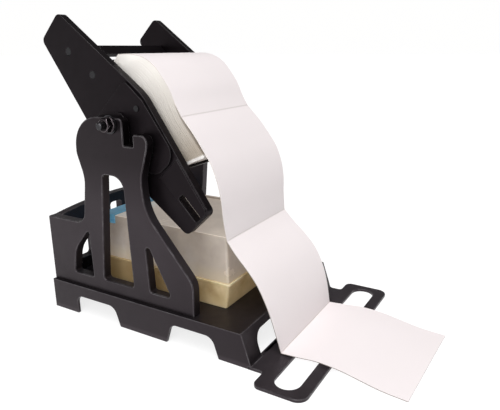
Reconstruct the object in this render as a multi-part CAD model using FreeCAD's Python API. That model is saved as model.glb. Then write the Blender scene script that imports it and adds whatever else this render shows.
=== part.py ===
"""Desk-top dispenser stand for fan-fold shipping labels.

A moulded base with a slotted front flange carries two side plates and a rear wall.  A tilting
cradle hangs between the side plates on two clamp bolts and holds a fan-fold pack of 4 in labels,
whose web hangs down in front.  A lidded storage box slides in on the deck under the cradle.

Millimetres.  +X is across the stand, +Y runs to the rear, +Z is up.  While it is built, y = 0 is
the foot of the front wall and z = 0 is the table.  At the end everything is moved along Y so that
the origin is the point on the table under the middle of the assembly's bounding box.

The cradle is built level, with its length along +Y and its label side up, about the pivot as
origin, and is then turned by rest_tilt and lifted to the pivot.
"""
import FreeCAD, Part
import math
import os

from FreeCAD import Vector

# ---- labels ----
label_width = 101.6          # 4 in labels
web_thickness = 0.8          # label and liner, drawn thick
paper_gap = 0.35             # paper stands this clear of what it rests on
pack_clearance = 0.65        # along the rest, between the pack's lower end and the lip

# ---- base ----
deck_front = 9.0
deck_rear = 216.0
deck_height = 28.4
deck_thickness = 3.2
front_wall_lean = 9.6        # the front wall's foot is this far ahead of its top
skirt_wall = 3.0
arch_half_width = 63.0
arch_top = 21.5
arch_corner = 10.0
notch_top = 17.8             # top of the hand notches in the skirt's sides
notch_corner = 7.0
rear_notch_rear = 185.5
rear_notch_front = 133.5
front_notch_rear = 82.0
front_notch_front = 30.0
notch_lean = 6.0             # how far a notch's sloping ends lean in

# ---- front flange ----
flange_thickness = 2.7
flange_neck_reach = 0.2      # the flange's neck stands this far out from the skirt
flange_reach = 18.6          # the flange's ends stand this far out from the skirt
flange_shoulder = -10.5
flange_front = -52.3
flange_corner = 9.0
flange_rear_corner = 6.0
flange_fillet = 3.0
flange_slot_rear = -22.0
flange_slot_front = -42.2
flange_slot_end = 7.2        # from the slot's ends to the flange's ends

# ---- side plates and rear wall ----
side_inset = 3.3             # the side plates stand this far in from the deck's edge
side_thickness = 8.5
rim_height = 89.8
head_rear_reach = 40.5       # from the pivot to the rear of the round head
head_rise = 5.6              # from the pivot to the top of the head
head_corner = 27.0
head_foot_drop = 5.0         # the head's straight rear edge is this long below its round corner
trap_rear_reach = 12.3       # open-topped notch between ear and head, ahead of the pivot
trap_front_reach = 22.6
trap_floor_drop = 16.3       # below the pivot
ear_front_reach = 37.4
ear_top_drop = 6.5
ear_foot_drop = 17.8
waist_rear = 164.3
waist_rear_height = 131.0
waist_front = 101.6
waist_front_high = 137.0
waist_front_low = 110.2
waist_curve = 30.0           # radius of the waist, rear and front
lower_waist_curve = 45.0
knee_curve = 18.0
ear_curve = 25.0
ear_foot_step = 1.6          # the ear narrows this much at its foot
foot_front = 54.2
knee_height = 56.8
window_floor = 40.0          # lower edge of the windows
rear_window = ((165.6, 84.5, 1.6), (184.3, 63.0, 28.0), (188.2, window_floor, 2.0), (164.4, window_floor, 2.0))
middle_window = ((151.8, window_floor, 3.0), (143.3, 136.2, 4.0), (121.2, 136.2, 12.0), (117.2, window_floor, 3.0))
front_window = ((102.0, 88.2, 2.4), (99.3, window_floor, 2.4), (76.8, window_floor, 2.4))
rear_wall_thickness = 8.4
rear_wall_crown = 5.0        # its top rises this much between the side plates
wall_window_inner = 35.0     # the rear wall's two outer windows
wall_window_outer = 58.0
wall_window_top = 78.0
wall_middle_half = 8.0       # its middle window
wall_middle_top = 85.3
wall_window_corner = 3.0
tongue_depth = 3.0
tongue_clearance = 0.1
tongue_stop = 8.0            # the rear wall's tongues end this far below the rim

# ---- pivot ----
pivot_y = 129.8
pivot_z = 178.3
rest_tilt = 46.0             # the cradle's length stands this steep
bolt_radius = 3.0
bolt_head_radius = 6.5
bolt_head_thickness = 2.6
bolt_end = 12.0              # thread beyond the side plate's outer face
washer_radius = 7.5
washer_thickness = 1.2
nut_across_flats = 11.0
nut_thickness = 6.5
collar_radius = 8.7          # spacer collar between cradle and side plate
collar_length = 2.3
running_clearance = 0.05

# ---- cradle ----
cheek_clearance = 6.4        # between the labels' edges and the cheeks
cheek_thickness = 7.3
cheek_half_length = 105.2
cheek_half_middle = 33.1
cheek_half_end = 15.5
cheek_end_corner = 5.0
cheek_middle_corner = 40.0
cheek_slot_inner = -79.1     # slot near the cheek's lower end
cheek_slot_outer = -102.9
cheek_slot_low = 0.5
cheek_slot_high = 6.9
land_thickness = 1.1         # raised front land beside the slot
land_low = -1.9
land_inner = -56.2
pivot_plate_thickness = 2.2
pivot_plate_top = 19.5
pivot_plate_low = -20.0
pivot_plate_end_high = (-55.5, 23.4)
pivot_plate_end_low = (-53.5, -3.6)
pivot_plate_end_radius = 13.5
pivot_plate_shoulder = 28.5
pivot_plate_crest = (-4.0, 31.0)
pivot_plate_heel = -16.0
plate_screw = (-4.4, 22.3)   # the small screw that holds the stiffening plate
rest_thickness = 4.5         # the label rest between the cheeks
rest_face = 7.8              # its label face above the pivot axis
rest_lower = -57.8
rest_upper = 60.0
lip_thickness = 2.0
lip_reach = 2.0
lip_inset = 4.0              # the lip's ends stand this far in from the cheeks
crossbar_place = 77.0
crossbar_height = 10.0
crossbar_thickness = 4.5

# ---- label pack ----
pack_lean = 0.37             # the pack's lower end leans this much
pack_front_low = 35.5
pack_front = ((-49.1, 37.3), (-31.1, 39.4), (-20.0, 43.4), (-9.0, 47.2), (3.1, 49.0), (14.1, 49.6), (26.0, 46.4),
              (36.9, 38.8), (46.2, 28.7))
pack_leaves = -25.0          # below this the web hangs free of the pack's front
top_fold = (-30.9, 40.78)    # where the web leaves the pack, in the level cradle

# ---- storage box ----
box_front = 37.3
box_rear = 172.5
box_half_width = 52.4
tray_height = 22.6
tray_draft = 0.8             # of the tray's sides and rear
tray_front_draft = 3.0
tray_wall = 2.2
rim_reach = 0.8              # the tray's rim stands out this far
rim_depth = 2.4
lid_height = 39.4
lid_wall = 1.9
lid_inset = 0.6              # the lid's foot stands this far in from the tray's top
lid_draft = 2.4
lid_spigot = 4.0
lid_clearance = 0.2
lid_panel_drop = 2.2         # the lid's top panel lies below its rim
lid_rim_width = 3.0
box_corner = 2.0
box_inner_corner = 0.6       # the least radius of a corner inside the box
latch_thickness = 2.0
latch_barrel_half = 40.0     # the barrel and the strap beside it lie between the knuckles
knuckle_height = 9.0
latch_ear_thickness = 1.5    # ears at the latch's ends grip the lid's sides
latch_ear_depth = 7.0        # and reach this far down from the lid's top
latch_rib_depth = 2.4
latch_pin_radius = 1.5
latch_barrel_radius = 3.2
latch_axis_out = 4.6         # behind the tray's rear wall
latch_axis_height = 15.0     # above the deck
latch_reach = 12.5           # the hook reaches this far over the lid from the tray's rear
latch_gap = 0.3
knuckle_length = 6.0

# ---- fasteners ----
screw_radius = 1.5
screw_head_radius = 2.9
screw_head_height = 1.8
screw_length = 16.0
boss_height = 6.0            # screw bosses under the deck
boss_radius = 4.5
pilot_margin = 0.5           # a pilot hole runs this far past its screw
head_clearance = 0.3         # between a screw head and a wall beside it
side_screw_places = (66.0, 118.0, 196.0)
rear_screw_places = (-22.0, 22.0)
rest_screw_places = (-38.0, 46.0)

# ---- label web, in the side view, below the cradle ----
# a sag is (share of the way from fold to fold, offset square to it)
web_drop_sags = ((0.158, -5.3), (0.301, -8.8), (0.422, -11.1), (0.568, -10.6), (0.701, -8), (0.84, -3.7))
fold_two = (38.8, 88.0)
fold_overlap = 0.6           # the two hanging labels run into each other at their fold
web_slope_sags = ((0.133, -1.9), (0.27, -5.3), (0.426, -7.8), (0.591, -7.4), (0.756, -5.1))
fold_three = (-11.8, 3.9)
web_foot = ((-28.0, 5.6), (-42.0, 7.4), (-55.0, 7.4), (-67.0, 6.4), (-81.0, 4.2), (-96.0, 1.9))
web_drift = 0.058            # sideways drift of the lower web per unit of its way forward
web_end = (-115.98, 0.95)

# ---- derived ----
cheek_inner = label_width / 2 + cheek_clearance
cheek_outer = cheek_inner + cheek_thickness
side_inner = cheek_outer + pivot_plate_thickness + collar_length
side_outer = side_inner + side_thickness
deck_half = side_outer + side_inset
flange_neck_half = deck_half + flange_neck_reach
flange_half_width = deck_half + flange_reach
flange_slot_half = flange_half_width - flange_slot_end
wall_foot = deck_front - front_wall_lean
ceiling = deck_height - deck_thickness
boss_foot = ceiling - boss_height
head_rear = pivot_y + head_rear_reach
head_top = pivot_z + head_rise


# ---------------------------------------------------------------- drawing aids
def rounded(points):
    """Closed wire through points (a, b, radius) in the XY plane, each corner an arc of its radius.

    Where two arcs would meet on one side, both are made smaller in the same measure.
    """
    count = len(points)
    places = [Vector(a, b, 0) for a, b, _ in points]
    sides = [places[(i + 1) % count] - places[i] for i in range(count)]
    halves = [(-sides[i - 1]).getAngle(sides[i]) / 2 for i in range(count)]
    reaches = [points[i][2] / math.tan(halves[i]) for i in range(count)]
    for i in range(count):
        j = (i + 1) % count
        room = 0.999 * sides[i].Length / max(reaches[i] + reaches[j], 1e-9)
        if room < 1:
            reaches[i] *= room
            reaches[j] *= room
    corners = []
    for here, before, after, half, reach in zip(places, [-side for side in sides[-1:] + sides], sides, halves, reaches):
        if reach < 1e-6:
            corners.append((here, None, here))
            continue
        before = before.normalize()
        after = Vector(after).normalize()
        middle = (before + after).normalize()
        depth = reach / math.cos(half) - reach * math.tan(half)
        corners.append((here + before * reach, here + middle * depth, here + after * reach))
    edges = []
    for i, (start, top, end) in enumerate(corners):
        if top is not None:
            edges.append(Part.Arc(start, top, end).toShape())
        following = corners[(i + 1) % count][0]
        if end.distanceToPoint(following) > 1e-6:
            edges.append(Part.LineSegment(end, following).toShape())
    return Part.Wire(edges)


def plate_xy(points, z0, z1):
    """Flat plate with a rounded outline in X and Y."""
    plate = Part.Face(rounded(points)).extrude(Vector(0, 0, z1 - z0))
    plate.translate(Vector(0, 0, z0))
    return plate


def plate_yz(points, x0, x1):
    """Upright plate with a rounded outline in Y and Z, from x0 to x1."""
    plate = Part.Face(rounded(points)).extrude(Vector(0, 0, x1 - x0))
    plate.Placement = FreeCAD.Placement(Vector(x0, 0, 0), FreeCAD.Rotation(Vector(1, 1, 1), 120))
    return plate


def plate_xz(points, y0, y1):
    """Upright plate with a rounded outline in X and Z, from y0 to y1."""
    plate = Part.Face(rounded(points)).extrude(Vector(0, 0, y0 - y1))
    plate.Placement = FreeCAD.Placement(Vector(0, y0, 0), FreeCAD.Rotation(Vector(1, 0, 0), 90))
    return plate


def block(x0, x1, y0, y1, z0, z1):
    """Box between two corners."""
    return Part.makeBox(x1 - x0, y1 - y0, z1 - z0, Vector(x0, y0, z0))


def rod(radius, x0, x1, y=0.0, z=0.0):
    """Round bar along X."""
    return Part.makeCylinder(radius, x1 - x0, Vector(x0, y, z), Vector(1, 0, 0))


def drafted(bottom, z0, top, z1, corner):
    """Solid between two rounded rectangles (half width, front, rear), drafted from one to the other."""
    wires = []
    for (half, front, rear), z in ((bottom, z0), (top, z1)):
        outline = ((-half, front, corner), (half, front, corner), (half, rear, corner), (-half, rear, corner))
        wire = rounded(outline)
        wire.translate(Vector(0, 0, z))
        wires.append(wire)
    return Part.makeLoft(wires, True, True)


def wedge_box(bottom, z0, top, z1):
    """Flat-faced solid between two rectangles (half width, front, rear)."""
    def ring(half, front, rear, z):
        return [Vector(-half, front, z), Vector(half, front, z), Vector(half, rear, z), Vector(-half, rear, z)]

    low, high = ring(*bottom, z0), ring(*top, z1)
    faces = [Part.Face(Part.makePolygon(ring_points + ring_points[:1])) for ring_points in (low, high)]
    for i in range(4):
        j = (i + 1) % 4
        faces.append(Part.Face(Part.makePolygon([low[i], low[j], high[j], high[i], low[i]])))
    solid = Part.makeSolid(Part.makeShell(faces))
    if solid.Volume < 0:
        solid.reverse()
    return solid


def mirrored(shape):
    """The same piece on the other side of the stand."""
    return shape.mirror(Vector(0, 0, 0), Vector(1, 0, 0))


def ribbon(points, drift=0.0, past=0.0):
    """Label web across X along a smooth curve through points (y, z), its printed side on them.

    It runs straight on past its last point by as much as past says.
    """
    curve = Part.BSplineCurve()
    curve.interpolate([Vector(0, y, z) for y, z in points])
    samples = along(curve, 3 * len(points))
    if past:
        way = (samples[-1] - samples[-2]).normalize()
        samples.append(samples[-1] + way * past)
    backs = set_back(samples, web_thickness)
    loop = [Vector(drift * (p.y - fold_two[0]) - label_width / 2, p.y, p.z) for p in samples + backs[::-1]]
    return Part.Face(Part.makePolygon(loop + loop[:1])).extrude(Vector(label_width, 0, 0))


def along(curve, count):
    """Points at even parameters along a curve."""
    first, last = curve.FirstParameter, curve.LastParameter
    return [curve.value(first + (last - first) * i / (count - 1)) for i in range(count)]


def set_back(samples, depth):
    """Points in the YZ plane moved square to their own line, to the left of its way."""
    moved = []
    for i, here in enumerate(samples):
        way = samples[min(i + 1, len(samples) - 1)] - samples[max(i - 1, 0)]
        way.normalize()
        moved.append(here + Vector(0, -way.z, way.y) * depth)
    return moved


def tilted(shape):
    """Turns a piece of the level cradle to its rest tilt and lifts it to the pivot."""
    turned = shape.copy()
    turned.rotate(Vector(0, 0, 0), Vector(1, 0, 0), rest_tilt)
    turned.translate(Vector(0, pivot_y, pivot_z))
    return turned


nodes = {}


# ---------------------------------------------------------------- base
def skirt_notch(rear, front, lean_rear):
    """Hand notch cut through both sides of the skirt."""
    return plate_yz(
        (
            (rear, -1.0, 0),
            (rear - lean_rear, notch_top, notch_corner),
            (front + notch_lean, notch_top, notch_corner + 2.0),
            (front - 0.4, -1.0, 0),
        ),
        -deck_half - 1.0,
        deck_half + 1.0,
    )


def make_base():
    """Open-bottomed moulding: deck, skirt, front wall and slotted front flange."""
    foot = (deck_half, wall_foot, deck_rear)
    top = (deck_half, deck_front, deck_rear)
    body = wedge_box(foot, 0.0, top, deck_height)
    inner_foot = (foot[0] - skirt_wall, foot[1] + skirt_wall, foot[2] - skirt_wall)
    inner_top = (top[0] - skirt_wall, top[1] + skirt_wall, top[2] - skirt_wall)
    body = body.cut(wedge_box(inner_foot, -0.5, inner_top, ceiling))
    for y in side_screw_places:
        for side in (-1, 1):
            boss = Part.makeCylinder(boss_radius, boss_height, Vector(side * side_screw_x, y, boss_foot))
            body = body.fuse(boss)
    body = body.cut(skirt_notch(rear_notch_rear, rear_notch_front, 0.0))
    body = body.cut(skirt_notch(front_notch_rear, front_notch_front, notch_lean))
    neck, half = flange_neck_half, flange_half_width
    flange = plate_xy(
        (
            (neck, wall_foot + skirt_wall, 0),
            (neck, flange_shoulder, flange_fillet),
            (half, flange_shoulder, flange_rear_corner),
            (half, flange_front, flange_corner),
            (-half, flange_front, flange_corner),
            (-half, flange_shoulder, flange_rear_corner),
            (-neck, flange_shoulder, flange_fillet),
            (-neck, wall_foot + skirt_wall, 0),
        ),
        0.0,
        flange_thickness,
    )
    body = body.fuse(flange)
    slot_half_depth = (flange_slot_rear - flange_slot_front) / 2 - 0.01
    slot = plate_xy(
        (
            (flange_slot_half, flange_slot_rear, slot_half_depth),
            (flange_slot_half, flange_slot_front, slot_half_depth),
            (-flange_slot_half, flange_slot_front, slot_half_depth),
            (-flange_slot_half, flange_slot_rear, slot_half_depth),
        ),
        -1.0,
        flange_thickness + 1.0,
    )
    body = body.cut(slot)
    arch = plate_xz(
        (
            (-arch_half_width, flange_thickness, 2.0),
            (arch_half_width, flange_thickness, 2.0),
            (arch_half_width, arch_top, arch_corner),
            (-arch_half_width, arch_top, arch_corner),
        ),
        wall_foot - 2.0,
        deck_front + skirt_wall + 2.0,
    )
    body = body.cut(arch)
    for y in side_screw_places:
        for side in (-1, 1):
            body = body.cut(screw_hole(side * side_screw_x, y, boss_foot))
    for x in rear_screw_places:
        body = body.cut(screw_hole(x, rear_screw_y, ceiling))
    return body.removeSplitter()


# ---------------------------------------------------------------- screws from below
side_screw_x = side_outer - side_thickness / 2
rear_screw_y = deck_rear - skirt_wall - screw_head_radius - head_clearance


def screw_hole(x, y, z0):
    """Clearance hole up through the base for one screw whose head sits at z0."""
    radius = screw_radius + running_clearance
    return Part.makeCylinder(radius, deck_height - z0 + 1.0, Vector(x, y, z0 - 0.5))


def screw_up(x, y, z0):
    """Pan-head screw driven upwards, with its head under z0."""
    head = Part.makeCylinder(screw_head_radius, screw_head_height, Vector(x, y, z0 - screw_head_height))
    head = head.makeFillet(0.6, [head.Edges[2]] if head.Edges[2].Length > 5 else [head.Edges[0]])
    shank = Part.makeCylinder(screw_radius, screw_length, Vector(x, y, z0 - 0.2))
    recess = plate_xy(
        ((x - 1.4, y - 0.4, 0), (x + 1.4, y - 0.4, 0), (x + 1.4, y + 0.4, 0), (x - 1.4, y + 0.4, 0)),
        z0 - screw_head_height - 0.5,
        z0 - screw_head_height + 0.9,
    )
    cross = recess.copy()
    cross.rotate(Vector(x, y, 0), Vector(0, 0, 1), 90)
    return head.fuse(shank).cut(recess).cut(cross)


def pilot(x, y, z0, length):
    """Pilot hole that a screw from below fills."""
    return Part.makeCylinder(screw_radius + running_clearance, length, Vector(x, y, z0))


# ---------------------------------------------------------------- side plates and rear wall
def make_side_plate():
    """Right-hand side plate: tower with round head, trap notch and three windows."""
    trap_rear, trap_front = pivot_y - trap_rear_reach, pivot_y - trap_front_reach
    trap_floor, ear_top = pivot_z - trap_floor_drop, pivot_z - ear_top_drop
    ear_front = pivot_y - ear_front_reach
    outline = (
        (deck_rear, deck_height, 0),
        (deck_rear, rim_height, 1.2),
        (head_rear, rim_height, 10.0),
        (waist_rear, waist_rear_height, waist_curve),
        (head_rear + 1.0, head_top - head_corner - head_foot_drop, 12.0),
        (head_rear, head_top, head_corner),
        (trap_rear, head_top - 0.3, 4.0),
        (trap_rear, trap_floor, 1.0),
        (trap_front, trap_floor, 1.0),
        (trap_front, ear_top, 1.6),
        (ear_front, ear_top, 6.0),
        (ear_front + ear_foot_step, pivot_z - ear_foot_drop, ear_curve),
        (waist_front, waist_front_high, waist_curve),
        (waist_front - 1.8, waist_front_low, lower_waist_curve),
        (foot_front, knee_height, knee_curve),
        (foot_front + 0.4, deck_height, 0),
    )
    plate = plate_yz(outline, side_inner, side_outer)
    for window in (rear_window, middle_window, front_window):
        plate = plate.cut(plate_yz(window, side_inner - 1.0, side_outer + 1.0))
    groove_top = rim_height - tongue_stop + tongue_clearance
    plate = plate.cut(
        block(
            side_inner - 1.0,
            side_inner + tongue_depth + tongue_clearance,
            tongue_front - tongue_clearance,
            tongue_rear + tongue_clearance,
            deck_height - 1.0,
            groove_top,
        )
    )
    bore = bolt_radius + 0.4
    plate = plate.cut(rod(bore, side_inner - 1.0, side_outer + 1.0, pivot_y, pivot_z))
    for y in side_screw_places:
        plate = plate.cut(pilot(side_screw_x, y, deck_height - 1.0, boss_foot + screw_length + pilot_margin - deck_height + 1.0))
    return softened(plate, side_outer)


def softened(plate, face_x):
    """Breaks the long edges of a plate's outer face."""
    edges = []
    for edge in plate.Edges:
        box = edge.BoundBox
        if abs(box.XMin - face_x) < 1e-4 and abs(box.XMax - face_x) < 1e-4 and edge.Length > 12.0:
            if box.ZMin > deck_height + 0.5:
                edges.append(edge)
    try:
        return plate.makeChamfer(0.5, edges)
    except Part.OCCError:
        return plate


tongue_front = deck_rear - rear_wall_thickness + 2.4
tongue_rear = deck_rear - 2.4


def make_rear_wall():
    """Wall with a crowned top and three windows, tongued into the side plates, screwed from below."""
    reach = side_inner
    low_left, low_right = Vector(-reach, 0, deck_height), Vector(reach, 0, deck_height)
    left, right = Vector(-reach, 0, rim_height), Vector(reach, 0, rim_height)
    crown = Part.Arc(right, Vector(0, 0, rim_height + rear_wall_crown), left).toShape()
    outline = Part.Wire(Part.makePolygon([left, low_left, low_right, right]).Edges + [crown])
    wall = Part.Face(outline).extrude(Vector(0, rear_wall_thickness, 0))
    wall.translate(Vector(0, deck_rear - rear_wall_thickness, 0))
    windows = (
        (-wall_window_outer, -wall_window_inner, wall_window_top),
        (-wall_middle_half, wall_middle_half, wall_middle_top),
        (wall_window_inner, wall_window_outer, wall_window_top),
    )
    for x0, x1, top in windows:
        corners = ((x0, window_floor), (x1, window_floor), (x1, top), (x0, top))
        outline = [(x, z, wall_window_corner) for x, z in corners]
        wall = wall.cut(plate_xz(outline, deck_rear - rear_wall_thickness - 1.0, deck_rear + 1.0))
    tongue_top = rim_height - tongue_stop
    for side in (-1, 1):
        x0, x1 = sorted((side * (reach - 1.0), side * (reach + tongue_depth)))
        wall = wall.fuse(block(x0, x1, tongue_front, tongue_rear, deck_height, tongue_top))
    for x in rear_screw_places:
        wall = wall.cut(pilot(x, rear_screw_y, deck_height - 1.0, ceiling + screw_length + pilot_margin - deck_height + 1.0))
    return wall.removeSplitter()


# ---------------------------------------------------------------- cradle, built level
def cheek_outline(inset=0.0):
    """Long six-sided cheek outline with rounded corners."""
    length, middle, end = cheek_half_length - inset, cheek_half_middle - inset, cheek_half_end - inset
    return (
        (-length, -end, cheek_end_corner),
        (0.0, -middle, cheek_middle_corner),
        (length, -end, cheek_end_corner),
        (length, end, cheek_end_corner),
        (0.0, middle, cheek_middle_corner),
        (-length, end, cheek_end_corner),
    )


def make_cheek():
    """Right-hand cheek of the cradle with its slot, raised land and counterbored pivot hole."""
    cheek = plate_yz(cheek_outline(), cheek_inner, cheek_outer)
    land = plate_yz(cheek_outline(1.2), cheek_outer - 0.5, cheek_outer + land_thickness)
    keep = block(0.0, cheek_outer + 10.0, -cheek_half_length, land_inner, land_low, cheek_half_middle)
    cheek = cheek.fuse(land.common(keep))
    slot_corner = 1.6
    slot = plate_yz(
        (
            (cheek_slot_outer, cheek_slot_low, slot_corner),
            (cheek_slot_inner, cheek_slot_low, slot_corner),
            (cheek_slot_inner, cheek_slot_high, slot_corner),
            (cheek_slot_outer, cheek_slot_high, slot_corner),
        ),
        cheek_inner - 1.0,
        cheek_outer + land_thickness + 1.0,
    )
    cheek = cheek.cut(slot)
    cheek = cheek.cut(rod(bolt_radius + running_clearance, cheek_inner - 1.0, cheek_outer + 1.0))
    sink = bolt_head_thickness + 0.1
    cheek = cheek.cut(rod(bolt_head_radius + 0.1, cheek_inner - 1.0, cheek_inner + sink))
    for y, z in side_joint_places():
        hole = rod(screw_radius + running_clearance, cheek_inner - 1.0, cheek_outer + 1.0, y, z)
        seat = rod(screw_head_radius + 0.1, cheek_outer - screw_head_height, cheek_outer + 1.0, y, z)
        cheek = cheek.cut(hole).cut(seat)
    cheek = cheek.cut(rod(screw_radius + running_clearance, cheek_outer - 4.0, cheek_outer + 1.0, *plate_screw))
    return cheek.removeSplitter()


def side_joint_places():
    """Where screws pass through a cheek into the label rest and the crossbar."""
    rest_middle = rest_face - rest_thickness / 2
    return [(y, rest_middle) for y in rest_screw_places] + [(crossbar_place, 0.0)]


def make_pivot_plate():
    """Thin stiffening plate on the outside of the cheek, around the pivot."""
    outline = (
        (pivot_plate_top, pivot_plate_low, 4.0),
        (pivot_plate_top, pivot_plate_shoulder, 4.0),
        (*pivot_plate_crest, 14.0),
        (*pivot_plate_end_high, pivot_plate_end_radius),
        (*pivot_plate_end_low, pivot_plate_end_radius),
        (pivot_plate_heel, pivot_plate_low, 16.0),
    )
    x0 = cheek_outer
    plate = plate_yz(outline, x0, x0 + pivot_plate_thickness)
    plate = plate.cut(rod(bolt_radius + running_clearance, x0 - 1.0, x0 + 10.0))
    plate = plate.cut(rod(screw_radius + running_clearance, x0 - 1.0, x0 + 10.0, *plate_screw))
    for y, z in side_joint_places():
        plate = plate.cut(rod(screw_head_radius + 0.1, x0 - 1.0, x0 + 10.0, y, z))
    return plate


def make_plate_screw():
    """Small round-head screw that holds the stiffening plate to the cheek."""
    x0 = cheek_outer + pivot_plate_thickness
    head = rod(screw_head_radius - 0.6, x0, x0 + 0.9, *plate_screw)
    shank = rod(screw_radius, x0 - 5.6, x0 + 0.1, *plate_screw)
    return head.fuse(shank)


def make_rest():
    """Label rest: flat panel between the cheeks with an upturned lip at its lower end."""
    half = cheek_inner
    lip_half = half - lip_inset
    tip = -lip_reach * pack_lean
    heel = rest_thickness * pack_lean
    panel = block(-half, half, rest_lower + heel, rest_upper, rest_face - rest_thickness, rest_face)
    lip = plate_yz(
        (
            (rest_lower + heel + 1.0, rest_face - rest_thickness, 0),
            (rest_lower + heel + 1.0, rest_face, 0),
            (rest_lower, rest_face, 0),
            (rest_lower + tip, rest_face + lip_reach, 0.8),
            (rest_lower + tip - lip_thickness, rest_face + lip_reach, 0.8),
            (rest_lower + heel - lip_thickness, rest_face - rest_thickness, 1.2),
        ),
        -lip_half,
        lip_half,
    )
    rest = panel.fuse(lip)
    for y, z in side_joint_places():
        if y < rest_upper:
            for side in (-1, 1):
                x0, x1 = sorted((side * (half - 12.0), side * (half + 1.0)))
                rest = rest.cut(rod(screw_radius + running_clearance, x0, x1, y, z))
    return rest.removeSplitter()


def make_crossbar():
    """Flat bar that ties the cheeks together near their upper ends."""
    half = cheek_inner
    y0, z0 = crossbar_place - crossbar_height / 2, -crossbar_thickness / 2
    bar = block(-half, half, y0, y0 + crossbar_height, z0, z0 + crossbar_thickness)
    for side in (-1, 1):
        x0, x1 = sorted((side * (half - 12.0), side * (half + 1.0)))
        bar = bar.cut(rod(screw_radius + running_clearance, x0, x1, crossbar_place, 0.0))
    return bar


def make_joint_screws():
    """Countersunk-seat screws through the right cheek into the rest and the crossbar."""
    screws = []
    for y, z in side_joint_places():
        head = rod(screw_head_radius, cheek_outer - screw_head_height, cheek_outer - 0.1, y, z)
        shank = rod(screw_radius, cheek_inner - 10.0, cheek_outer - screw_head_height + 0.1, y, z)
        screws.append(head.fuse(shank))
    return screws


def make_collar():
    """Spacer collar on the pivot bolt between cheek and side plate."""
    x0 = cheek_outer + pivot_plate_thickness
    ring = rod(collar_radius, x0, side_inner)
    ring = ring.cut(rod(bolt_radius + running_clearance, x0 - 1.0, side_inner + 1.0))
    return ring


def make_bolt():
    """Pivot bolt: low round head in the cheek's counterbore, thread out through the side plate."""
    head = rod(bolt_head_radius, cheek_inner, cheek_inner + bolt_head_thickness)
    shank = rod(bolt_radius, cheek_inner + 0.5, side_outer + bolt_end)
    tip = Part.makeCone(bolt_radius, bolt_radius - 0.8, 0.8, Vector(side_outer + bolt_end, 0, 0), Vector(1, 0, 0))
    return head.fuse(shank).fuse(tip)


def make_washer():
    """Flat washer against the side plate's outer face."""
    ring = rod(washer_radius, side_outer, side_outer + washer_thickness)
    return ring.cut(rod(bolt_radius + running_clearance, side_outer - 1.0, side_outer + 5.0))


def make_nut():
    """Flanged hexagon clamp nut with a short collar on its outer face."""
    x0 = side_outer + washer_thickness
    across = nut_across_flats / 2 / math.cos(math.pi / 6)
    corners = []
    for i in range(6):
        angle = math.radians(60 * i + 15)
        corners.append((across * math.cos(angle), across * math.sin(angle), 0))
    nut = plate_yz(corners, x0, x0 + nut_thickness)
    cone = Part.makeCone(across + 1.6, across - 1.4, 3.0, Vector(x0 + nut_thickness - 3.0, 0, 0), Vector(1, 0, 0))
    body = block(x0 - 1.0, x0 + nut_thickness - 3.0, -20.0, 20.0, -20.0, 20.0).fuse(cone)
    nut = nut.common(body)
    nut = nut.fuse(rod(nut_across_flats / 2 + 1.0, x0, x0 + 1.0))
    nut = nut.cut(rod(bolt_radius + running_clearance, x0 - 1.0, x0 + nut_thickness + 1.0))
    return nut.removeSplitter()


# ---------------------------------------------------------------- labels
def pack_front_points():
    """The pack's front face in the level cradle, from its leaning lower end to its upper end."""
    foot = rest_lower + pack_clearance - pack_lean * (pack_front_low - rest_face)
    return ((foot, pack_front_low),) + pack_front


def make_pack():
    """Fan-fold pack: leaning lower end, flat back on the rest, bulging front face."""
    back = rest_face + paper_gap
    curve = Part.BSplineCurve()
    curve.interpolate([Vector(0, y, z) for y, z in pack_front_points()[::-1]])
    front = set_back(along(curve, 24), web_thickness + paper_gap)
    loop = [Vector(0, front[0].y, back)] + front + [Vector(0, rest_lower + pack_clearance, back)]
    pack = Part.Face(Part.makePolygon(loop + loop[:1])).extrude(Vector(label_width, 0, 0))
    pack.translate(Vector(-label_width / 2, 0, 0))
    return pack


def stand_point(y, z):
    """A point of the level cradle's side view in the stand's own y and z."""
    turn = math.radians(rest_tilt)
    return (
        pivot_y + y * math.cos(turn) - z * math.sin(turn),
        pivot_z + y * math.sin(turn) + z * math.cos(turn),
    )


def hang(start, end, sags):
    """Side-view points of a label that sags between two folds."""
    way = (end[0] - start[0], end[1] - start[1])
    length = math.hypot(*way)
    points = [start]
    for share, sag in sags:
        y = start[0] + share * way[0] - sag * way[1] / length
        z = start[1] + share * way[1] + sag * way[0] / length
        points.append((y, z))
    return points + [end]


def make_web_top():
    """First label of the web: lies on the pack's front face, from its upper end to the first fold."""
    points = [point for point in pack_front_points() if point[0] > pack_leaves]
    points = [(top_fold[0] + 2 * paper_gap, top_fold[1] + paper_gap)] + points
    return ribbon(points[::-1])


def make_web_hanging():
    """The two labels that hang free from the first fold to the third."""
    upper = ribbon(hang(stand_point(*top_fold), fold_two, web_drop_sags), past=fold_overlap)
    lower = ribbon(hang(fold_two, fold_three, web_slope_sags), web_drift)
    return upper.fuse(lower)


def make_web_foot():
    """The label that lies over the front flange and on the table."""
    return ribbon((fold_three,) + web_foot + (web_end,), web_drift)


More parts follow.
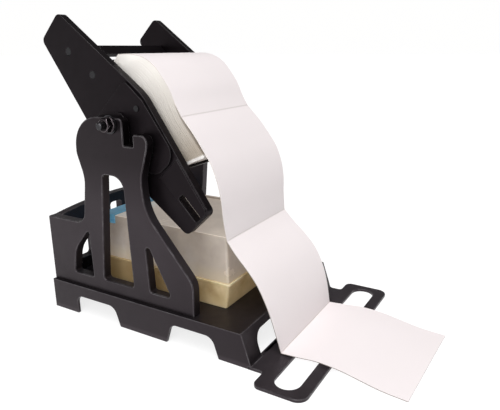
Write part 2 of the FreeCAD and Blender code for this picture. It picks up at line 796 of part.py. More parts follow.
# ---------------------------------------------------------------- storage box
def make_tray():
    """Lower half of the storage box, with knuckles for the latch pin."""
    z0, z1 = deck_height, deck_height + tray_height
    outer_low = (box_half_width - tray_draft, box_front + tray_front_draft, box_rear - tray_draft)
    outer_top = (box_half_width, box_front, box_rear)
    tray = drafted(outer_low, z0, outer_top, z1, box_corner)
    rim_size = (box_half_width + rim_reach, box_front - rim_reach, box_rear + rim_reach)
    rim = drafted(rim_size, z1 - rim_depth, rim_size, z1, box_corner + rim_reach)
    tray = tray.fuse(rim)
    inner_low = (outer_low[0] - tray_wall, outer_low[1] + tray_wall, outer_low[2] - tray_wall)
    inner_top = (outer_top[0] - tray_wall, outer_top[1] + tray_wall, outer_top[2] - tray_wall)
    inner = drafted(inner_low, z0 + tray_wall, inner_top, z1 + 0.001, inside_corner(tray_wall))
    tray = tray.cut(inner)
    axis_y, axis_z = latch_axis()
    knuckle_inner = latch_barrel_half + latch_gap
    for side in (-1, 1):
        x0, x1 = sorted((side * knuckle_inner, side * (knuckle_inner + knuckle_length)))
        arm = plate_yz(
            (
                (box_rear - 2.0, axis_z - knuckle_height / 2, 0),
                (axis_y + 2.8, axis_z - 2.8, 2.0),
                (axis_y + 2.8, axis_z + 2.8, 2.0),
                (box_rear - 2.0, axis_z + knuckle_height / 2, 0),
            ),
            x0,
            x1,
        )
        tray = tray.fuse(arm.cut(rod(latch_pin_radius + running_clearance, x0 - 1.0, x1 + 1.0, axis_y, axis_z)))
    return tray.removeSplitter()


def inside_corner(by):
    """Corner radius of an outline that lies this far inside the box's outer one."""
    return max(box_corner - by, box_inner_corner)


def latch_axis():
    """Side-view place of the latch pin."""
    return box_rear + latch_axis_out, deck_height + latch_axis_height


def strap_half():
    """Half width of the latch: its ears stand outside the lid."""
    lid_half = lid_sizes()[1][0] + lid_draft * latch_ear_depth / lid_height
    return lid_half + latch_gap + latch_ear_thickness


def lid_sizes():
    """Outer rectangles of the lid at its foot and at its top."""
    foot = (box_half_width - lid_inset, box_front + lid_inset, box_rear - lid_inset)
    top = (foot[0] - lid_draft, foot[1] + lid_draft, foot[2] - lid_draft)
    return foot, top


def make_lid():
    """Frosted cover with a sunken top panel and a spigot that seats in the tray."""
    z0 = deck_height + tray_height
    z1 = z0 + lid_height
    foot, top = lid_sizes()
    lid = drafted(foot, z0, top, z1, box_corner)

    def shrunk(size, by):
        return (size[0] - by, size[1] + by, size[2] - by)

    spigot_by = tray_wall - lid_inset + lid_clearance
    spigot_top = shrunk(foot, spigot_by)
    taper = lid_spigot / (tray_height - tray_wall)
    spigot_foot = (
        spigot_top[0] - tray_draft * taper,
        spigot_top[1] + tray_front_draft * taper,
        spigot_top[2] - tray_draft * taper,
    )
    spigot = drafted(spigot_foot, z0 - lid_spigot, spigot_top, z0 + 0.001, inside_corner(spigot_by))
    lid = lid.fuse(spigot)
    panel_low = z1 - lid_panel_drop - lid_wall
    hollow_by = spigot_by + lid_wall
    hollow = drafted(
        shrunk(foot, hollow_by), z0 - lid_spigot - 1.0, shrunk(top, hollow_by), panel_low, inside_corner(hollow_by)
    )
    lid = lid.cut(hollow)
    sunk_size = shrunk(top, lid_rim_width)
    sunk = drafted(sunk_size, z1 - lid_panel_drop, sunk_size, z1 + 1.0, inside_corner(lid_rim_width))
    return lid.cut(sunk).removeSplitter()


def make_latch():
    """Latch: barrel on the pin, back strap, hook over the lid's rear rim and an ear at each end."""
    axis_y, axis_z = latch_axis()
    lid_top = deck_height + tray_height + lid_height
    half = strap_half()
    hook_low = lid_top + latch_gap
    hook_top = hook_low + latch_thickness * 0.7
    hook_front = box_rear - latch_reach
    back = box_rear + rim_reach + latch_gap
    latch = plate_yz(
        (
            (back, axis_z, 0),
            (back, hook_low, 0),
            (hook_front, hook_low, 0.3),
            (hook_front, hook_top, 0.5),
            (back + latch_thickness, hook_top, 1.4),
            (back + latch_thickness + 1.2, axis_z, 0),
        ),
        -half,
        half,
    )
    ear_low = lid_top - latch_ear_depth
    groove_low = ear_low + latch_rib_depth
    groove_depth = latch_ear_thickness - 0.8
    for side in (-1, 1):
        x0, x1 = sorted((side * (half - latch_ear_thickness), side * half))
        latch = latch.fuse(block(x0, x1, hook_front, back + 0.5, ear_low, hook_low + 0.2))
        x0, x1 = sorted((side * (half - groove_depth), side * (half + 1.0)))
        latch = latch.cut(block(x0, x1, hook_front - 1.0, box_rear, groove_low, lid_top - latch_rib_depth))
        x0, x1 = sorted((side * latch_barrel_half, side * (half + 1.0)))
        latch = latch.cut(block(x0, x1, back - 1.0, axis_y + 5.0, axis_z - 1.0, axis_z + knuckle_height / 2 + 1.0))
    latch = latch.fuse(rod(latch_barrel_radius, -latch_barrel_half, latch_barrel_half, axis_y, axis_z))
    return latch.cut(rod(latch_pin_radius + running_clearance, -half, half, axis_y, axis_z)).removeSplitter()


def make_latch_pin():
    """Pin through the knuckles and the latch's barrel."""
    reach = latch_barrel_half + latch_gap + knuckle_length
    return rod(latch_pin_radius, -reach, reach, *latch_axis())


# ---------------------------------------------------------------- assembly
nodes["base_shell"] = make_base()
side_plate = make_side_plate()
nodes["right_side_plate"] = side_plate
nodes["left_side_plate"] = mirrored(side_plate)
nodes["rear_wall"] = make_rear_wall()
side_screws = [screw_up(s * side_screw_x, y, boss_foot) for y in side_screw_places for s in (-1, 1)]
nodes["side_plate_screws"] = Part.makeCompound(side_screws)
nodes["rear_wall_screws"] = Part.makeCompound([screw_up(x, rear_screw_y, ceiling) for x in rear_screw_places])

cradle_makers = {
    "cheek": make_cheek,
    "pivot_plate": make_pivot_plate,
    "pivot_plate_screw": make_plate_screw,
    "spacer_collar": make_collar,
    "pivot_bolt": make_bolt,
    "clamp_nut": make_nut,
}
for name, maker in cradle_makers.items():
    right = maker()
    nodes["right_" + name] = tilted(right)
    nodes["left_" + name] = tilted(mirrored(right))
nodes["washers"] = Part.makeCompound([tilted(make_washer()), tilted(mirrored(make_washer()))])
nodes["label_rest"] = tilted(make_rest())
nodes["cradle_crossbar"] = tilted(make_crossbar())
joint_screws = make_joint_screws()
joint_screws += [mirrored(screw) for screw in joint_screws]
nodes["cradle_screws"] = Part.makeCompound([tilted(screw) for screw in joint_screws])
nodes["label_pack"] = tilted(make_pack())
nodes["label_web_top"] = tilted(make_web_top())
nodes["label_web_hanging"] = make_web_hanging()
nodes["label_web_foot"] = make_web_foot()
nodes["box_tray"] = make_tray()
nodes["box_lid"] = make_lid()
nodes["box_latch"] = make_latch()
nodes["latch_pin"] = make_latch_pin()

bounds = FreeCAD.BoundBox()
for shape in nodes.values():
    bounds.add(shape.optimalBoundingBox(False))
middle_y = (bounds.YMin + bounds.YMax) / 2
os.makedirs("parts", exist_ok=True)
for name, shape in nodes.items():
    shape.translate(Vector(0, -middle_y, 0))
    shape.exportStep("parts/" + name + ".step")
    print(f"{name:24s} valid {shape.isValid()} solids {len(shape.Solids)} volume {shape.Volume:10.1f}")
print(f"origin is at y = {middle_y:.3f}")
print(f"pivot at y = {pivot_y - middle_y:.3f}, z = {pivot_z:.3f}")
print(f"latch pin at y = {latch_axis()[0] - middle_y:.3f}, z = {latch_axis()[1]:.3f}")
print(f"bounds {bounds}")
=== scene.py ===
"""Desk stand for fan-fold labels: its visible pieces and finishes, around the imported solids.

Metres, in the part's own frame: +X across the stand, +Y to the rear wall, +Z up.
"""
import math
import random

import bpy
from mathutils import Matrix, Vector


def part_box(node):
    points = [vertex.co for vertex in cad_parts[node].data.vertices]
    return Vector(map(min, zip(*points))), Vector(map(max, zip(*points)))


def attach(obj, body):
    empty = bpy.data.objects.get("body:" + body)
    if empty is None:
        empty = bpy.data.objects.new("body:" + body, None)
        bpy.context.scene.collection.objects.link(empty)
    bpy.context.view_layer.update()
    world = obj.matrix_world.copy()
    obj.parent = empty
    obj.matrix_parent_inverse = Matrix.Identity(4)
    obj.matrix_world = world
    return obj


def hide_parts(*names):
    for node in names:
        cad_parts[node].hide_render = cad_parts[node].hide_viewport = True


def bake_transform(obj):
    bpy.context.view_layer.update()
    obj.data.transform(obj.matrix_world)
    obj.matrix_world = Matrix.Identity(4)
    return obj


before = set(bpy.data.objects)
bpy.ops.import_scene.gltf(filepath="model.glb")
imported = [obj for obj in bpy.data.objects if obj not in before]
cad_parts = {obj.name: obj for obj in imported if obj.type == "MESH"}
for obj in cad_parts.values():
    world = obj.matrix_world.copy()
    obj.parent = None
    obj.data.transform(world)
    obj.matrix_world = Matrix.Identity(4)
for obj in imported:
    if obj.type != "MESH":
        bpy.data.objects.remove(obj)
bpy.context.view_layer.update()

bpy.ops.object.select_all(action="DESELECT")


# ---- Base moulding -------------------------------------------------------------------------------
# One open-bottomed moulding: deck, skirt with hand notches, arched front wall and slotted flange.
# Black satin ABS with a fine spark-eroded grain; its edges are slightly rounded by the mould.
class Signal:
    """A shader output that takes part in arithmetic."""

    def __init__(self, finish, socket):
        self.finish = finish
        self.socket = socket

    def maths(self, operation, *terms):
        return self.finish.node("ShaderNodeMath", {"operation": operation}, dict(enumerate(terms)))

    def __add__(self, other):
        return self.maths("ADD", self, other)

    __radd__ = __add__

    def __mul__(self, other):
        return self.maths("MULTIPLY", self, other)

    __rmul__ = __mul__

    def __sub__(self, other):
        return self.maths("SUBTRACT", self, other)

    def __rsub__(self, other):
        return self.maths("SUBTRACT", other, self)

    def __truediv__(self, other):
        return self.maths("DIVIDE", self, other)

    def __rtruediv__(self, other):
        return self.maths("DIVIDE", other, self)

    def __abs__(self):
        return self.maths("ABSOLUTE", self)


class Finish:
    """A material whose surface sockets are set by name."""

    def __init__(self, name, **fixed):
        self.material = bpy.data.materials.new(name)
        self.material.use_nodes = True
        self.tree = self.material.node_tree
        self.surface = self.tree.nodes["Principled BSDF"]
        self.feed(**fixed)

    def put(self, socket, value):
        """Links a signal, or sets a number, a vector or a colour of three parts."""
        if isinstance(value, Signal):
            self.tree.links.new(value.socket, socket)
        elif socket.type == "RGBA":
            socket.default_value = (*value, 1)
        else:
            socket.default_value = value

    def feed(self, **values):
        for name, value in values.items():
            self.put(self.surface.inputs[name.replace("_", " ")], value)

    def node(self, kind, settings=None, inputs=None, output=0):
        made = self.tree.nodes.new(kind)
        for name, value in (settings or {}).items():
            if name == "stops":
                for number, (position, colour) in enumerate(value):
                    stops = made.color_ramp.elements
                    stop = stops[number] if number < len(stops) else stops.new(position)
                    stop.position = position
                    stop.color = colour
            else:
                setattr(made, name, value)
        for key, value in (inputs or {}).items():
            self.put(made.inputs[key], value)
        return Signal(self, made.outputs[output])

    def place(self):
        return self.node("ShaderNodeTexCoord", output="Object")

    def along(self, axis):
        """Place along one axis of the part's frame."""
        return self.node("ShaderNodeSeparateXYZ", {}, {0: self.place()}, output=axis)

    def noise(self, scale, detail=2.0, roughness=0.5):
        values = {"Vector": self.place(), "Scale": scale, "Detail": detail, "Roughness": roughness}
        return self.node("ShaderNodeTexNoise", {}, values)

    def tint(self, share, low, high, blend="MIX"):
        """Colour between low and high, which are a colour Mix node's sockets 6 and 7."""
        settings = {"data_type": "RGBA", "blend_type": blend}
        return self.node("ShaderNodeMix", settings, {0: share, 6: low, 7: high}, output=2)

    def shaded(self, colour, grey):
        """The colour, darkened by a grey."""
        return self.tint(1.0, colour, grey, blend="MULTIPLY")

    def spread(self, value, low, high, to_low=0.0, to_high=1.0):
        """The value's share between low and high, held inside them."""
        inputs = {"Value": value, "From Min": low, "From Max": high, "To Min": to_low, "To Max": to_high}
        return self.node("ShaderNodeMapRange", {}, inputs)

    def patches(self, scale, detail=2.0, low=0.0, high=1.0):
        """Noise, with its usual band spread from low to high."""
        return self.spread(self.noise(scale, detail), 0.3, 0.7, low, high)

    def greys(self, value, highest, stops):
        """Grey that follows a value, up to the highest, through stops of place and share."""
        ramp = [(place / highest, (share, share, share, 1)) for place, share in stops]
        return self.node("ShaderNodeValToRGB", {"stops": ramp}, {"Fac": value / highest})

    def bump(self, height, distance, strength):
        inputs = {"Height": height, "Distance": distance, "Strength": strength}
        return self.node("ShaderNodeBump", {}, inputs)


def moulded_black(name, dark, light, grain, gloss, rub_and_highlight, painted_shade=None):
    """Black moulded plastic with a fine grain, and the finish of its smoother edges, lighter from wear and
    a painted highlight.

    Painted light and shade by height is given as places up the stand, each with the share of the tone that
    shows there.
    """
    ior = 1.49
    finish = Finish(name, IOR=ior, Specular_IOR_Level=gloss, Specular_Tint=(1.0, 0.78, 0.89))
    tone = finish.tint(finish.patches(38.0, 3.0), dark, light)
    # The tone is multiplied by painted light and shade that change with height.
    if painted_shade:
        painted_shade_top = 0.25
        tone = finish.shaded(tone, finish.greys(finish.along("Z"), painted_shade_top, painted_shade))
    finish.feed(
        Base_Color=tone,
        Roughness=finish.patches(150.0, low=0.31, high=0.43),
        Normal=finish.bump(finish.noise(2600.0, 1.0), 0.00003, grain),
    )
    # The rounded edges are painted lighter: partly rubbed wear, partly painted highlight.
    rubbed_and_highlit = Finish(name + "_edge", IOR=ior, Specular_IOR_Level=gloss + 0.1,
                    Specular_Tint=(1.0, 0.90, 0.96))
    worn_and_highlit = rubbed_and_highlit.spread(rubbed_and_highlit.noise(120.0, 4.0, 0.6), 0.42, 0.62)
    low, high = (tuple(lift + part for part in light) for lift in (rub_and_highlight / 10, rub_and_highlight))
    rubbed_and_highlit.feed(
        Base_Color=rubbed_and_highlit.tint(worn_and_highlit, low, high),
        Roughness=rubbed_and_highlit.spread(worn_and_highlit, 0.0, 1.0, 0.16, 0.28),
    )
    return finish.material, rubbed_and_highlit.material


def dress(piece, body):
    """Gives a finished piece the body that it rides on."""
    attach(piece, body)


def active(piece):
    """Selects one piece alone."""
    bpy.ops.object.select_all(action="DESELECT")
    piece.select_set(True)
    bpy.context.view_layer.objects.active = piece


def true_normals(mesh):
    """Flat faces shade flat and curved ones smooth; the rounded edges turn between them.

    A face shares its shade with neighbours that point nearly its own way.
    """
    body_likeness, edge_likeness, least_likeness = 0.9, 0.5, 0.3
    around = [[] for _ in mesh.vertices]
    for face in mesh.polygons:
        for corner in face.vertices:
            around[corner].append(face)
    shades = []
    for face in mesh.polygons:
        likeness = edge_likeness if face.material_index else body_likeness
        for corner in face.vertices:
            near = [other for other in around[corner]
                    if not other.material_index and other.normal.dot(face.normal) > likeness]
            near = near or [other for other in around[corner]
                            if other.normal.dot(face.normal) > least_likeness]
            shades.append(sum((other.normal * other.area for other in near), Vector()).normalized())
    mesh.normals_split_custom_set(shades)


def eased(node, name, materials, edge):
    """A solid's mesh as a piece of its own, with flat faces whole and edges rounded.

    The first material is the body's and the second is that of the rounded edges.
    """
    piece = bpy.data.objects.new(name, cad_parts[node].data.copy())
    bpy.context.scene.collection.objects.link(piece)
    piece.data.materials.clear()
    for material in materials:
        piece.data.materials.append(material)
    active(piece)
    bpy.ops.object.mode_set(mode="EDIT")
    bpy.ops.mesh.select_all(action="SELECT")
    bpy.ops.mesh.remove_doubles(threshold=2e-6)
    bpy.ops.mesh.dissolve_limited(angle_limit=math.radians(0.4))
    bpy.ops.object.mode_set(mode="OBJECT")
    bpy.ops.object.shade_smooth()
    rounding = piece.modifiers.new("rounding", "BEVEL")
    rounding.width = edge
    rounding.segments = 2
    rounding.limit_method = "ANGLE"
    rounding.angle_limit = math.radians(35)
    rounding.use_clamp_overlap = False
    rounding.material = 1
    bpy.ops.object.modifier_apply(modifier="rounding")
    true_normals(piece.data)
    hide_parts(node)
    return piece


# Painted light and shade by height: full tone at the very foot, darker on the skirt, lighter up the
# plates, darkest at the heads' tops.
painted_shade_by_height = ((0.0, 1.0), (0.0035, 0.95), (0.0048, 0.33), (0.036, 0.33), (0.060, 0.58),
                  (0.105, 0.80), (0.150, 0.04))
black_plastic = moulded_black("black_moulding", (0.0210, 0.0176, 0.0200), (0.0300, 0.0255, 0.0288),
                              grain=0.35, gloss=0.30, rub_and_highlight=0.045, painted_shade=painted_shade_by_height)
dress(eased("base_shell", "base_moulding", black_plastic, edge=0.0006), "stand")


# ---- Side plates and rear wall -------------------------------------------------------------------
# Two tower plates with a round head, an open-topped notch and three windows, and the wall between.
# Same black moulding; six screws come up from below, and the wall is tongued into both plates.
for node, name in (("left_side_plate", "left_tower"), ("right_side_plate", "right_tower"),
                   ("rear_wall", "rear_wall_panel")):
    dress(eased(node, name, black_plastic, edge=0.0005), "stand")


# ---- Cradle --------------------------------------------------------------------------------------
# Two long six-sided cheeks with a raised land and a slot at the lower end, stiffened at the pivot.
# Near-black plastic plate; the label rest and the crossbar are screwed between them.
cheek_black = moulded_black("cheek_black", (0.0026, 0.0020, 0.0024), (0.0048, 0.0038, 0.0045),
                            grain=0.25, gloss=0.14, rub_and_highlight=0.012)
for side in ("left", "right"):
    cheek = eased(side + "_cheek", side + "_cheek_plate", cheek_black, edge=0.0005)
    dress(cheek, "cradle")
    stiffener = eased(side + "_pivot_plate", side + "_stiffener", cheek_black, edge=0.0004)
    dress(stiffener, "cradle")
    collar = eased(side + "_spacer_collar", side + "_collar", cheek_black, edge=0.0003)
    dress(collar, "cradle")
for node, name in (("label_rest", "rest_panel"), ("cradle_crossbar", "crossbar")):
    dress(eased(node, name, cheek_black, edge=0.0004), "cradle")


# ---- Screws, bolts and pin -----------------------------------------------------------------------
# Pan-head screws from below, pivot bolts with washers, and the latch's pin: steel with dark zinc.
# The small screws in the cheeks and their stiffening plates are blackened.
def mottled_steel(name, dark, light, smooth, rough, metallic=1.0, mottle=420.0, detail=2.0, sheen=900.0):
    """Plated or blackened steel, uneven in tone and in sheen."""
    finish = Finish(name, Metallic=metallic)
    finish.feed(
        Base_Color=finish.tint(finish.noise(mottle, detail), dark, light),
        Roughness=finish.patches(sheen, low=smooth, high=rough),
    )
    return finish.material


zinc = mottled_steel("dark_zinc", (0.030, 0.029, 0.032), (0.085, 0.083, 0.088), 0.26, 0.42)
black_oxide = mottled_steel("black_oxide", (0.012, 0.012, 0.013), (0.030, 0.029, 0.032), 0.34, 0.5,
                            metallic=0.6)
for material, nodes in (
    (zinc, ("side_plate_screws", "rear_wall_screws", "latch_pin", "washers",
            "left_pivot_bolt", "right_pivot_bolt")),
    (black_oxide, ("left_pivot_plate_screw", "right_pivot_plate_screw", "cradle_screws")),
):
    for node in nodes:
        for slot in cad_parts[node].material_slots:
            slot.material = material


# ---- Clamp nuts ----------------------------------------------------------------------------------
# Flanged hexagon nuts on the pivot bolts' outer ends; they clamp the cradle at its angle.
# Blackened steel, with paler corners where the finish has rubbed off.
nut_steel = mottled_steel("nut_steel", (0.010, 0.008, 0.009), (0.028, 0.023, 0.026), 0.26, 0.40,
                          mottle=260.0, detail=3.0, sheen=700.0)
nut_corners = mottled_steel("nut_corners", (0.045, 0.038, 0.041), (0.20, 0.172, 0.184), 0.18, 0.30,
                            mottle=500.0, detail=3.0)
for side in ("left", "right"):
    nut = eased(side + "_clamp_nut", side + "_nut", (nut_steel, nut_corners), edge=0.0003)
    dress(nut, side + "_nut")


# ---- Label pack ----------------------------------------------------------------------------------
# Fan-fold pack: one long strip of label stock folded back on itself, leaf on leaf.
# Its cut edges are beige, with painted shade darkening them low on the pack, and whiter higher up; the
# folds at its low end are white.
tilt = math.radians(46.0)
pivot = Vector((0.0, 0.0798, 0.1783))
cosine, sine = math.cos(tilt), math.sin(tilt)
up_cradle, off_cradle = Vector((0.0, cosine, sine)), Vector((0.0, -sine, cosine))
half_width = 0.0508
leaf_count = 38
leaf_thickness = 0.00066
most_shift, most_ragged = 0.00012, 0.0004
pack_back = 0.0083
pack_lean = 0.37
low_end, low_end_height = -0.0571, 0.0078
pack_face = ((-67.0, 34.0), (-49.1, 35.9), (-31.1, 38.1), (-20.0, 42.0), (-9.0, 45.9), (3.1, 47.8),
             (14.1, 48.3), (26.0, 45.1), (36.6, 37.6), (45.6, 28.0))


def smooth_line(points, step):
    """Points about a step apart on a smooth line through the given ones, in the plane of Y and Z.

    The given points are in millimetres and the step and the line in metres.
    """
    points = [Vector((0.0, y / 1000, z / 1000)) for y, z in points]
    line = []
    count = len(points)
    for i in range(count - 1):
        here, there = points[i], points[i + 1]
        before = points[max(i - 1, 0)]
        after = points[min(i + 2, count - 1)]
        pieces = max(2, round((there - here).length / step))
        lead = (there - before) * (0.5 if i else 1.0)
        tail = (after - here) * (0.5 if i + 2 < count else 1.0)
        for k in range(pieces):
            t = k / pieces
            line.append(
                here * (2 * t**3 - 3 * t**2 + 1)
                + lead * (t**3 - 2 * t**2 + t)
                + there * (3 * t**2 - 2 * t**3)
                + tail * (t**3 - t**2)
            )
    line.append(points[-1].copy())
    return line


def lifted(along, above):
    """Place in the stand of a point of the level cradle."""
    y = along * cosine - above * sine
    z = along * sine + above * cosine
    return Vector((0.0, pivot.y + y, pivot.z + z))


def thicken(piece, thickness, offset, rim=0):
    """Gives an open strip its thickness; its cut edges take the material that is rim places further."""
    active(piece)
    paper = piece.modifiers.new("paper", "SOLIDIFY")
    paper.thickness = thickness
    paper.offset = offset
    paper.material_offset_rim = rim
    bpy.ops.object.modifier_apply(modifier="paper")


def strip_mesh(name, rows, left, right, columns=1):
    """Open strip through rows of points; each row runs from left to right."""
    mesh = bpy.data.meshes.new(name)
    points = []
    for row, start, end in zip(rows, left, right):
        for k in range(columns + 1):
            points.append((start + (end - start) * k / columns, row.y, row.z))
    wide = columns + 1
    faces = []
    for i in range(len(rows) - 1):
        for k in range(columns):
            corner = i * wide + k
            faces.append((corner, corner + wide, corner + wide + 1, corner + 1))
    mesh.from_pydata(points, [], faces)
    piece = bpy.data.objects.new(name, mesh)
    bpy.context.scene.collection.objects.link(piece)
    return piece


face_line = smooth_line(pack_face, step=0.005)
back_low = low_end - pack_lean * (pack_back - low_end_height)
draw = random.Random(4)
rows, left, right = [], [], []
for leaf in range(leaf_count):
    share = leaf / (leaf_count - 1)
    shift = draw.uniform(-most_shift, most_shift)
    ragged = draw.uniform(0.0, most_ragged)
    line = []
    for point in face_line:
        reach = (point.y - face_line[0].y) / (face_line[-1].y - face_line[0].y)
        back_y = back_low + (face_line[-1].y - back_low) * reach
        along = back_y + (point.y - back_y) * share + ragged * (1.0 - reach)
        above = pack_back + (point.z - pack_back) * share
        line.append(lifted(along, above))
    if leaf % 2:
        line.reverse()
    for point in line:
        rows.append(point)
        left.append(-half_width + shift)
        right.append(half_width + shift)
pack = strip_mesh("fan_fold_pack", rows, left, right)
thicken(pack, leaf_thickness, offset=0.0)
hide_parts("label_pack")

pack_paper = Finish("pack_paper", Roughness=0.7)
along_cradle, above_cradle = (
    pack_paper.node("ShaderNodeVectorMath", {"operation": "DOT_PRODUCT"},
                    {0: pack_paper.place(), 1: way}, output=1)
    for way in (up_cradle, off_cradle)
)
low_folds = pivot.dot(up_cradle) + low_end + pack_lean * (pivot.dot(off_cradle) + low_end_height)
from_folds = along_cradle + pack_lean * above_cradle - low_folds
# Painted shade on the cut edges: dark beige low on the pack, white higher up.
edge_shade_end, edge_light_start = 0.130, 0.200
fold_end, edge_start = 0.0015, 0.0030
edge_light_share = pack_paper.spread(along_cradle + 0.006 * pack_paper.noise(40.0), edge_shade_end, edge_light_start)
edge_tone_and_shade = pack_paper.tint(edge_light_share, (0.45, 0.39, 0.32), (1.0, 0.965, 0.92))
edge_share = pack_paper.spread(from_folds, fold_end, edge_start)
pack_paper.feed(Base_Color=pack_paper.tint(edge_share, (0.93, 0.90, 0.87), edge_tone_and_shade))
pack.data.materials.append(pack_paper.material)
dress(pack, "cradle")
pack_length = sum((b - a).length for a, b in zip(rows, rows[1:]))


# ---- Label web -----------------------------------------------------------------------------------
# The strip's free end: over the pack's face, down in front, across the flange and on to the table.
# White die-cut labels on a liner, creased at every fold, where the liner shows as a thin line.
# The points are in millimetres, with Y counted from the front wall's foot.
middle_y = 50.0
web_labels = (
    ((141.3, 231.5), (127.5, 231.8), (114.5, 229.3), (103.9, 222.9), (96.7, 214.6), (89.6, 204.7),
     (84.7, 194.1), (79.0, 184.4)),
    ((79.0, 184.4), (67.7, 171.2), (58.8, 158.8), (51.8, 148.0), (46.4, 133.7), (43.4, 119.9),
     (41.8, 104.8), (38.8, 88.0)),
    ((38.8, 88.0), (30.4, 77.8), (20.6, 68.0), (10.6, 56.2), (2.6, 42.1), (-3.8, 27.0), (-11.8, 3.9)),
    ((-11.8, 3.9), (-28.0, 5.6), (-42.0, 7.4), (-55.0, 7.4), (-67.0, 6.4), (-81.0, 4.2), (-96.0, 2.1),
     (-115.9, 1.2)),
)
columns = 12
web_thickness = 0.0006
sloping_drift, lying_drift = 0.0030, 0.0060
hanging_bulge, sloping_bulge = 0.0040, 0.0050
lying_turn = math.tan(math.radians(3.0))
wave_height, wave_length, wave_start = 0.0006, 3.0, 0.6
crease_core, crease_reach = 0.0002, 0.0009

rows, lengths, folds = [], [0.0], []
for label in web_labels:
    line = smooth_line([(y - middle_y, z) for y, z in label], step=0.004)
    if not rows:
        rows.append(line[0])
    for point in line[1:]:
        lengths.append(lengths[-1] + (point - rows[-1]).length)
        rows.append(point)
    folds.append(lengths[-1])
over_end, hanging_end, sloping_end, web_end = folds


def passed(length, start, end):
    """How far a length of the web is between two others, from 0 to 1."""
    return min(1.0, max(0.0, (length - start) / (end - start)))


left, right = [], []
for length in lengths:
    drift = (sloping_drift * passed(length, hanging_end, sloping_end)
             + lying_drift * passed(length, sloping_end, web_end))
    left.append(-drift - half_width)
    right.append(-drift + half_width)
web = strip_mesh("label_web", rows, left, right, columns)
chart = web.data.uv_layers.new(name="strip")
for loop in web.data.loops:
    row, column = divmod(loop.vertex_index, columns + 1)
    chart.data[loop.index].uv = (column / columns * 2 * half_width, lengths[row])
for vertex in web.data.vertices:
    row, column = divmod(vertex.index, columns + 1)
    across = column / columns
    hanging = passed(lengths[row], over_end, hanging_end)
    sloping = passed(lengths[row], hanging_end, sloping_end)
    lying = passed(lengths[row], sloping_end, web_end)
    bulge = hanging_bulge * math.sin(math.pi * hanging) + sloping_bulge * math.sin(math.pi * sloping)
    vertex.co.y -= bulge * across**2 + (across - 0.5) * 2 * half_width * lying_turn * lying
    vertex.co.z += wave_height * lying * math.sin(wave_length * (across - 0.5) + wave_start)

label_paper = Finish("label_paper", Roughness=0.52, IOR=1.45)
chart_place = label_paper.node("ShaderNodeUVMap", {"uv_map": "strip"})
strip = label_paper.node("ShaderNodeSeparateXYZ", {}, {0: chart_place}, output="Y")
crease = sum(label_paper.spread(abs(strip - fold), crease_core, crease_reach, 1.0, 0.0)
             for fold in (over_end, hanging_end, sloping_end))
white = label_paper.tint(label_paper.noise(16.0), (0.905, 0.838, 0.841), (0.945, 0.877, 0.881))
# Painted shade along the strip: the labels over the pack, hanging and sloping darken towards their lower
# folds; the foot label lightens towards its end.
change = 0.001
painted_shade_by_length = (
    (0.0, 1.0), (over_end - change, 0.930),
    (over_end + change, 0.950), (hanging_end - change, 0.850),
    (hanging_end + change, 0.940), (sloping_end - change, 0.900),
    (sloping_end + change, 0.915), (web_end, 0.945),
)
shaded_label_tone = label_paper.shaded(white, label_paper.greys(strip, web_end, painted_shade_by_length))
label_paper.feed(
    Base_Color=label_paper.tint(crease, shaded_label_tone, (0.70, 0.64, 0.63)),
    Normal=label_paper.bump(label_paper.noise(900.0, 3.0) * 0.3 - crease, 0.00015, 0.5),
)
# The web's cut edges: the liner's grey-brown, with painted shadow that darkens them towards the floor.
shaded_liner_edge = Finish("shaded_liner_edge", Roughness=0.7)
height = shaded_liner_edge.along("Z") + 0.02 * shaded_liner_edge.noise(300.0)
shaded_liner_edge.feed(Base_Color=shaded_liner_edge.tint(shaded_liner_edge.spread(height, 0.02, 0.17),
                                           (0.27, 0.235, 0.215), (0.80, 0.74, 0.70)))
web.data.materials.append(label_paper.material)
web.data.materials.append(shaded_liner_edge.material)
thicken(web, web_thickness, offset=-1.0, rim=1)
bpy.ops.object.shade_smooth_by_angle(angle=math.radians(20))
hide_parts("label_web_top", "label_web_hanging", "label_web_foot")
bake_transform(web)


# ---- Storage box ---------------------------------------------------------------------------------
# Amber translucent tray with a frosted cover that drops into it; a blue latch hooks the cover's rear.
# Injection-moulded styrene, the tray clear and tinted, the cover with a matt surface.
tray_low, tray_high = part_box("box_tray")
stain_height = 0.014
painted_shade_start, painted_shade_end = tray_low.y + 0.02, tray_low.y + 0.09


def cloudy(name, low, high, stain, foot, side_painted_glow, top_painted_glow, painted_rear_shade):
    """Translucent moulded plastic stained from below, with painted shade to the rear, a painted glow and
    brighter painted edges.
    """
    made = []
    # The rounded edges' finish is painted a quarter brighter and glows a quarter more: painted highlight.
    for kind, lift in (("", 1.0), ("_edge", 1.25)):
        finish = Finish(name + kind, IOR=1.5, Transmission_Weight=0.12, Emission_Strength=lift,
                        Subsurface_Weight=0.5, Subsurface_Radius=(1.0, 0.85, 0.65), Subsurface_Scale=0.012)
        bright, dim, stained = (tuple(min(1.0, lift * part) for part in tone)
                                for tone in (high, low, stain))
        flow = finish.spread(finish.noise(21.0, 4.0, 0.6), 0.34, 0.66)
        stain_share = finish.spread(finish.along("Z"), foot, foot + stain_height, 0.85, 0.0)
        # Painted shade: the colour darkens towards the rear.
        painted_shade_share = finish.spread(finish.along("Y"), painted_shade_start, painted_shade_end, 0.0, painted_rear_shade)
        # Painted light: the finish glows, more on faces turned up than on its sides, though it is no lamp.
        facing = finish.node("ShaderNodeNewGeometry", output="Normal")
        upward = finish.node("ShaderNodeSeparateXYZ", {}, {0: facing}, output="Z")
        tone = finish.tint(stain_share, finish.tint(flow, dim, bright), stained)
        finish.feed(
            Base_Color=finish.tint(painted_shade_share, tone, dim),
            Roughness=finish.spread(flow, 0.0, 1.0, 0.18, 0.28),
            Emission_Color=finish.tint(finish.spread(upward, 0.3, 0.9), side_painted_glow, top_painted_glow),
        )
        made.append(finish.material)
    return made


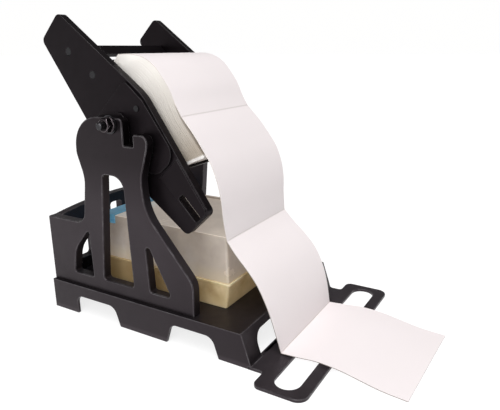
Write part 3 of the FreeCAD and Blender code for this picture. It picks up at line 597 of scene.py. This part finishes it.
amber = cloudy("amber_tray", low=(0.34, 0.24, 0.12), high=(0.92, 0.74, 0.46), stain=(0.86, 0.67, 0.40),
               foot=tray_low.z, side_painted_glow=(0.036, 0.026, 0.012), top_painted_glow=(0.08, 0.06, 0.032),
               painted_rear_shade=0.85)
frosted = cloudy("frosted_lid", low=(0.29, 0.255, 0.225), high=(0.48, 0.425, 0.37),
                 stain=(0.53, 0.445, 0.31), foot=tray_high.z, side_painted_glow=(0.085, 0.070, 0.058),
                 top_painted_glow=(0.27, 0.24, 0.212), painted_rear_shade=0.0)
dress(eased("box_tray", "storage_tray", amber, edge=0.0004), "storage_box")
dress(eased("box_lid", "storage_cover", frosted, edge=0.0005), "storage_box")
# The latch's faint blue glow is painted light; it is no lamp.
blue = Finish("blue_latch", Roughness=0.24, IOR=1.5, Coat_Weight=0.3,
              Emission_Color=(0.05, 0.16, 0.26), Emission_Strength=0.25)
blue.feed(Base_Color=blue.tint(blue.noise(70.0), (0.22, 0.62, 0.92), (0.32, 0.74, 1.0)))
hook = eased("box_latch", "cover_latch", (blue.material, blue.material), edge=0.0003)
dress(hook, "latch")


# ---- Studio --------------------------------------------------------------------------------------
# A pale floor and low bright walls that are dimmer to the front; the camera sees them as white.
# A broad light hangs overhead and a soft window shines from the left.
# The camera stands at the left front and looks down a little.
bpy.ops.mesh.primitive_plane_add(size=40.0, location=(0.0, 0.0, 0.0))
floor = bpy.context.object
floor.name = "floor"
pale = Finish("pale_floor", Roughness=0.9, Base_Color=(0.30, 0.30, 0.30), Specular_IOR_Level=0.0,
              Emission_Color=(1, 1, 1), Emission_Strength=0.80)
floor.data.materials.append(pale.material)


class Sky(Finish):
    """The studio's surroundings; a finish of the world in place of a material."""

    def __init__(self, name):
        self.world = bpy.data.worlds.new(name)
        self.world.use_nodes = True
        self.tree = self.world.node_tree
        self.surface = self.tree.nodes["Background"]


sky = Sky("studio")
way = sky.node("ShaderNodeTexCoord", output="Generated")
upward = sky.node("ShaderNodeSeparateXYZ", {}, {0: way}, output="Z")
rearward = sky.node("ShaderNodeSeparateXYZ", {}, {0: way}, output="Y")
walls = sky.node("ShaderNodeMapRange", {"interpolation_type": "SMOOTHSTEP"},
                 {"Value": upward, "From Min": 0.09, "From Max": 0.17, "To Min": 1.0, "To Max": 0.13})
room = walls * sky.spread(rearward, -0.7, 0.1, 0.30, 1.0)
backdrop = sky.node("ShaderNodeLightPath", output="Is Camera Ray")
sky.feed(Strength=room.maths("MAXIMUM", room, backdrop), Color=(1.0, 0.998, 0.995))
bpy.context.scene.world = sky.world
bpy.context.scene.view_settings.view_transform = "Standard"


def hung(name, data, place, towards):
    """A lamp at a place, turned to shine in a direction."""
    lamp = bpy.data.objects.new(name, data)
    lamp.location = place
    lamp.rotation_euler = Vector(towards).to_track_quat("-Z", "Y").to_euler()
    bpy.context.scene.collection.objects.link(lamp)


overhead = bpy.data.lights.new("overhead", "SUN")
overhead.energy = 2.45
overhead.angle = math.radians(50.0)
hung("overhead", overhead, (0.0, 0.0, 0.0), (0.20, 0.18, -1.0))
window = bpy.data.lights.new("left_window", "AREA")
window.size = 0.45
window.energy = 2.4
window_place, window_aim = Vector((-0.60, -0.16, 0.46)), Vector((0.0, 0.03, 0.14))
hung("left_window", window, window_place, window_aim - window_place)

azimuth, elevation, roll = math.radians(-59.68), math.radians(16.53), math.radians(-0.38)
backward = Vector((
    math.sin(azimuth) * math.cos(elevation),
    -math.cos(azimuth) * math.cos(elevation),
    math.sin(elevation),
))
level_right = (-backward).cross(Vector((0, 0, 1))).normalized()
level_up = level_right.cross(-backward)
camera_right = level_right * math.cos(roll) + level_up * math.sin(roll)
camera_up = level_up * math.cos(roll) - level_right * math.sin(roll)
camera_turn = Matrix((camera_right, camera_up, backward)).transposed().to_4x4()
camera = bpy.data.objects.new("camera", bpy.data.cameras.new("camera"))
camera.data.lens = 37.93
camera.data.sensor_width = 36.0
camera.matrix_world = Matrix.Translation((-0.3819, -0.22605, 0.2351)) @ camera_turn
bpy.context.scene.collection.objects.link(camera)
bpy.context.scene.camera = camera
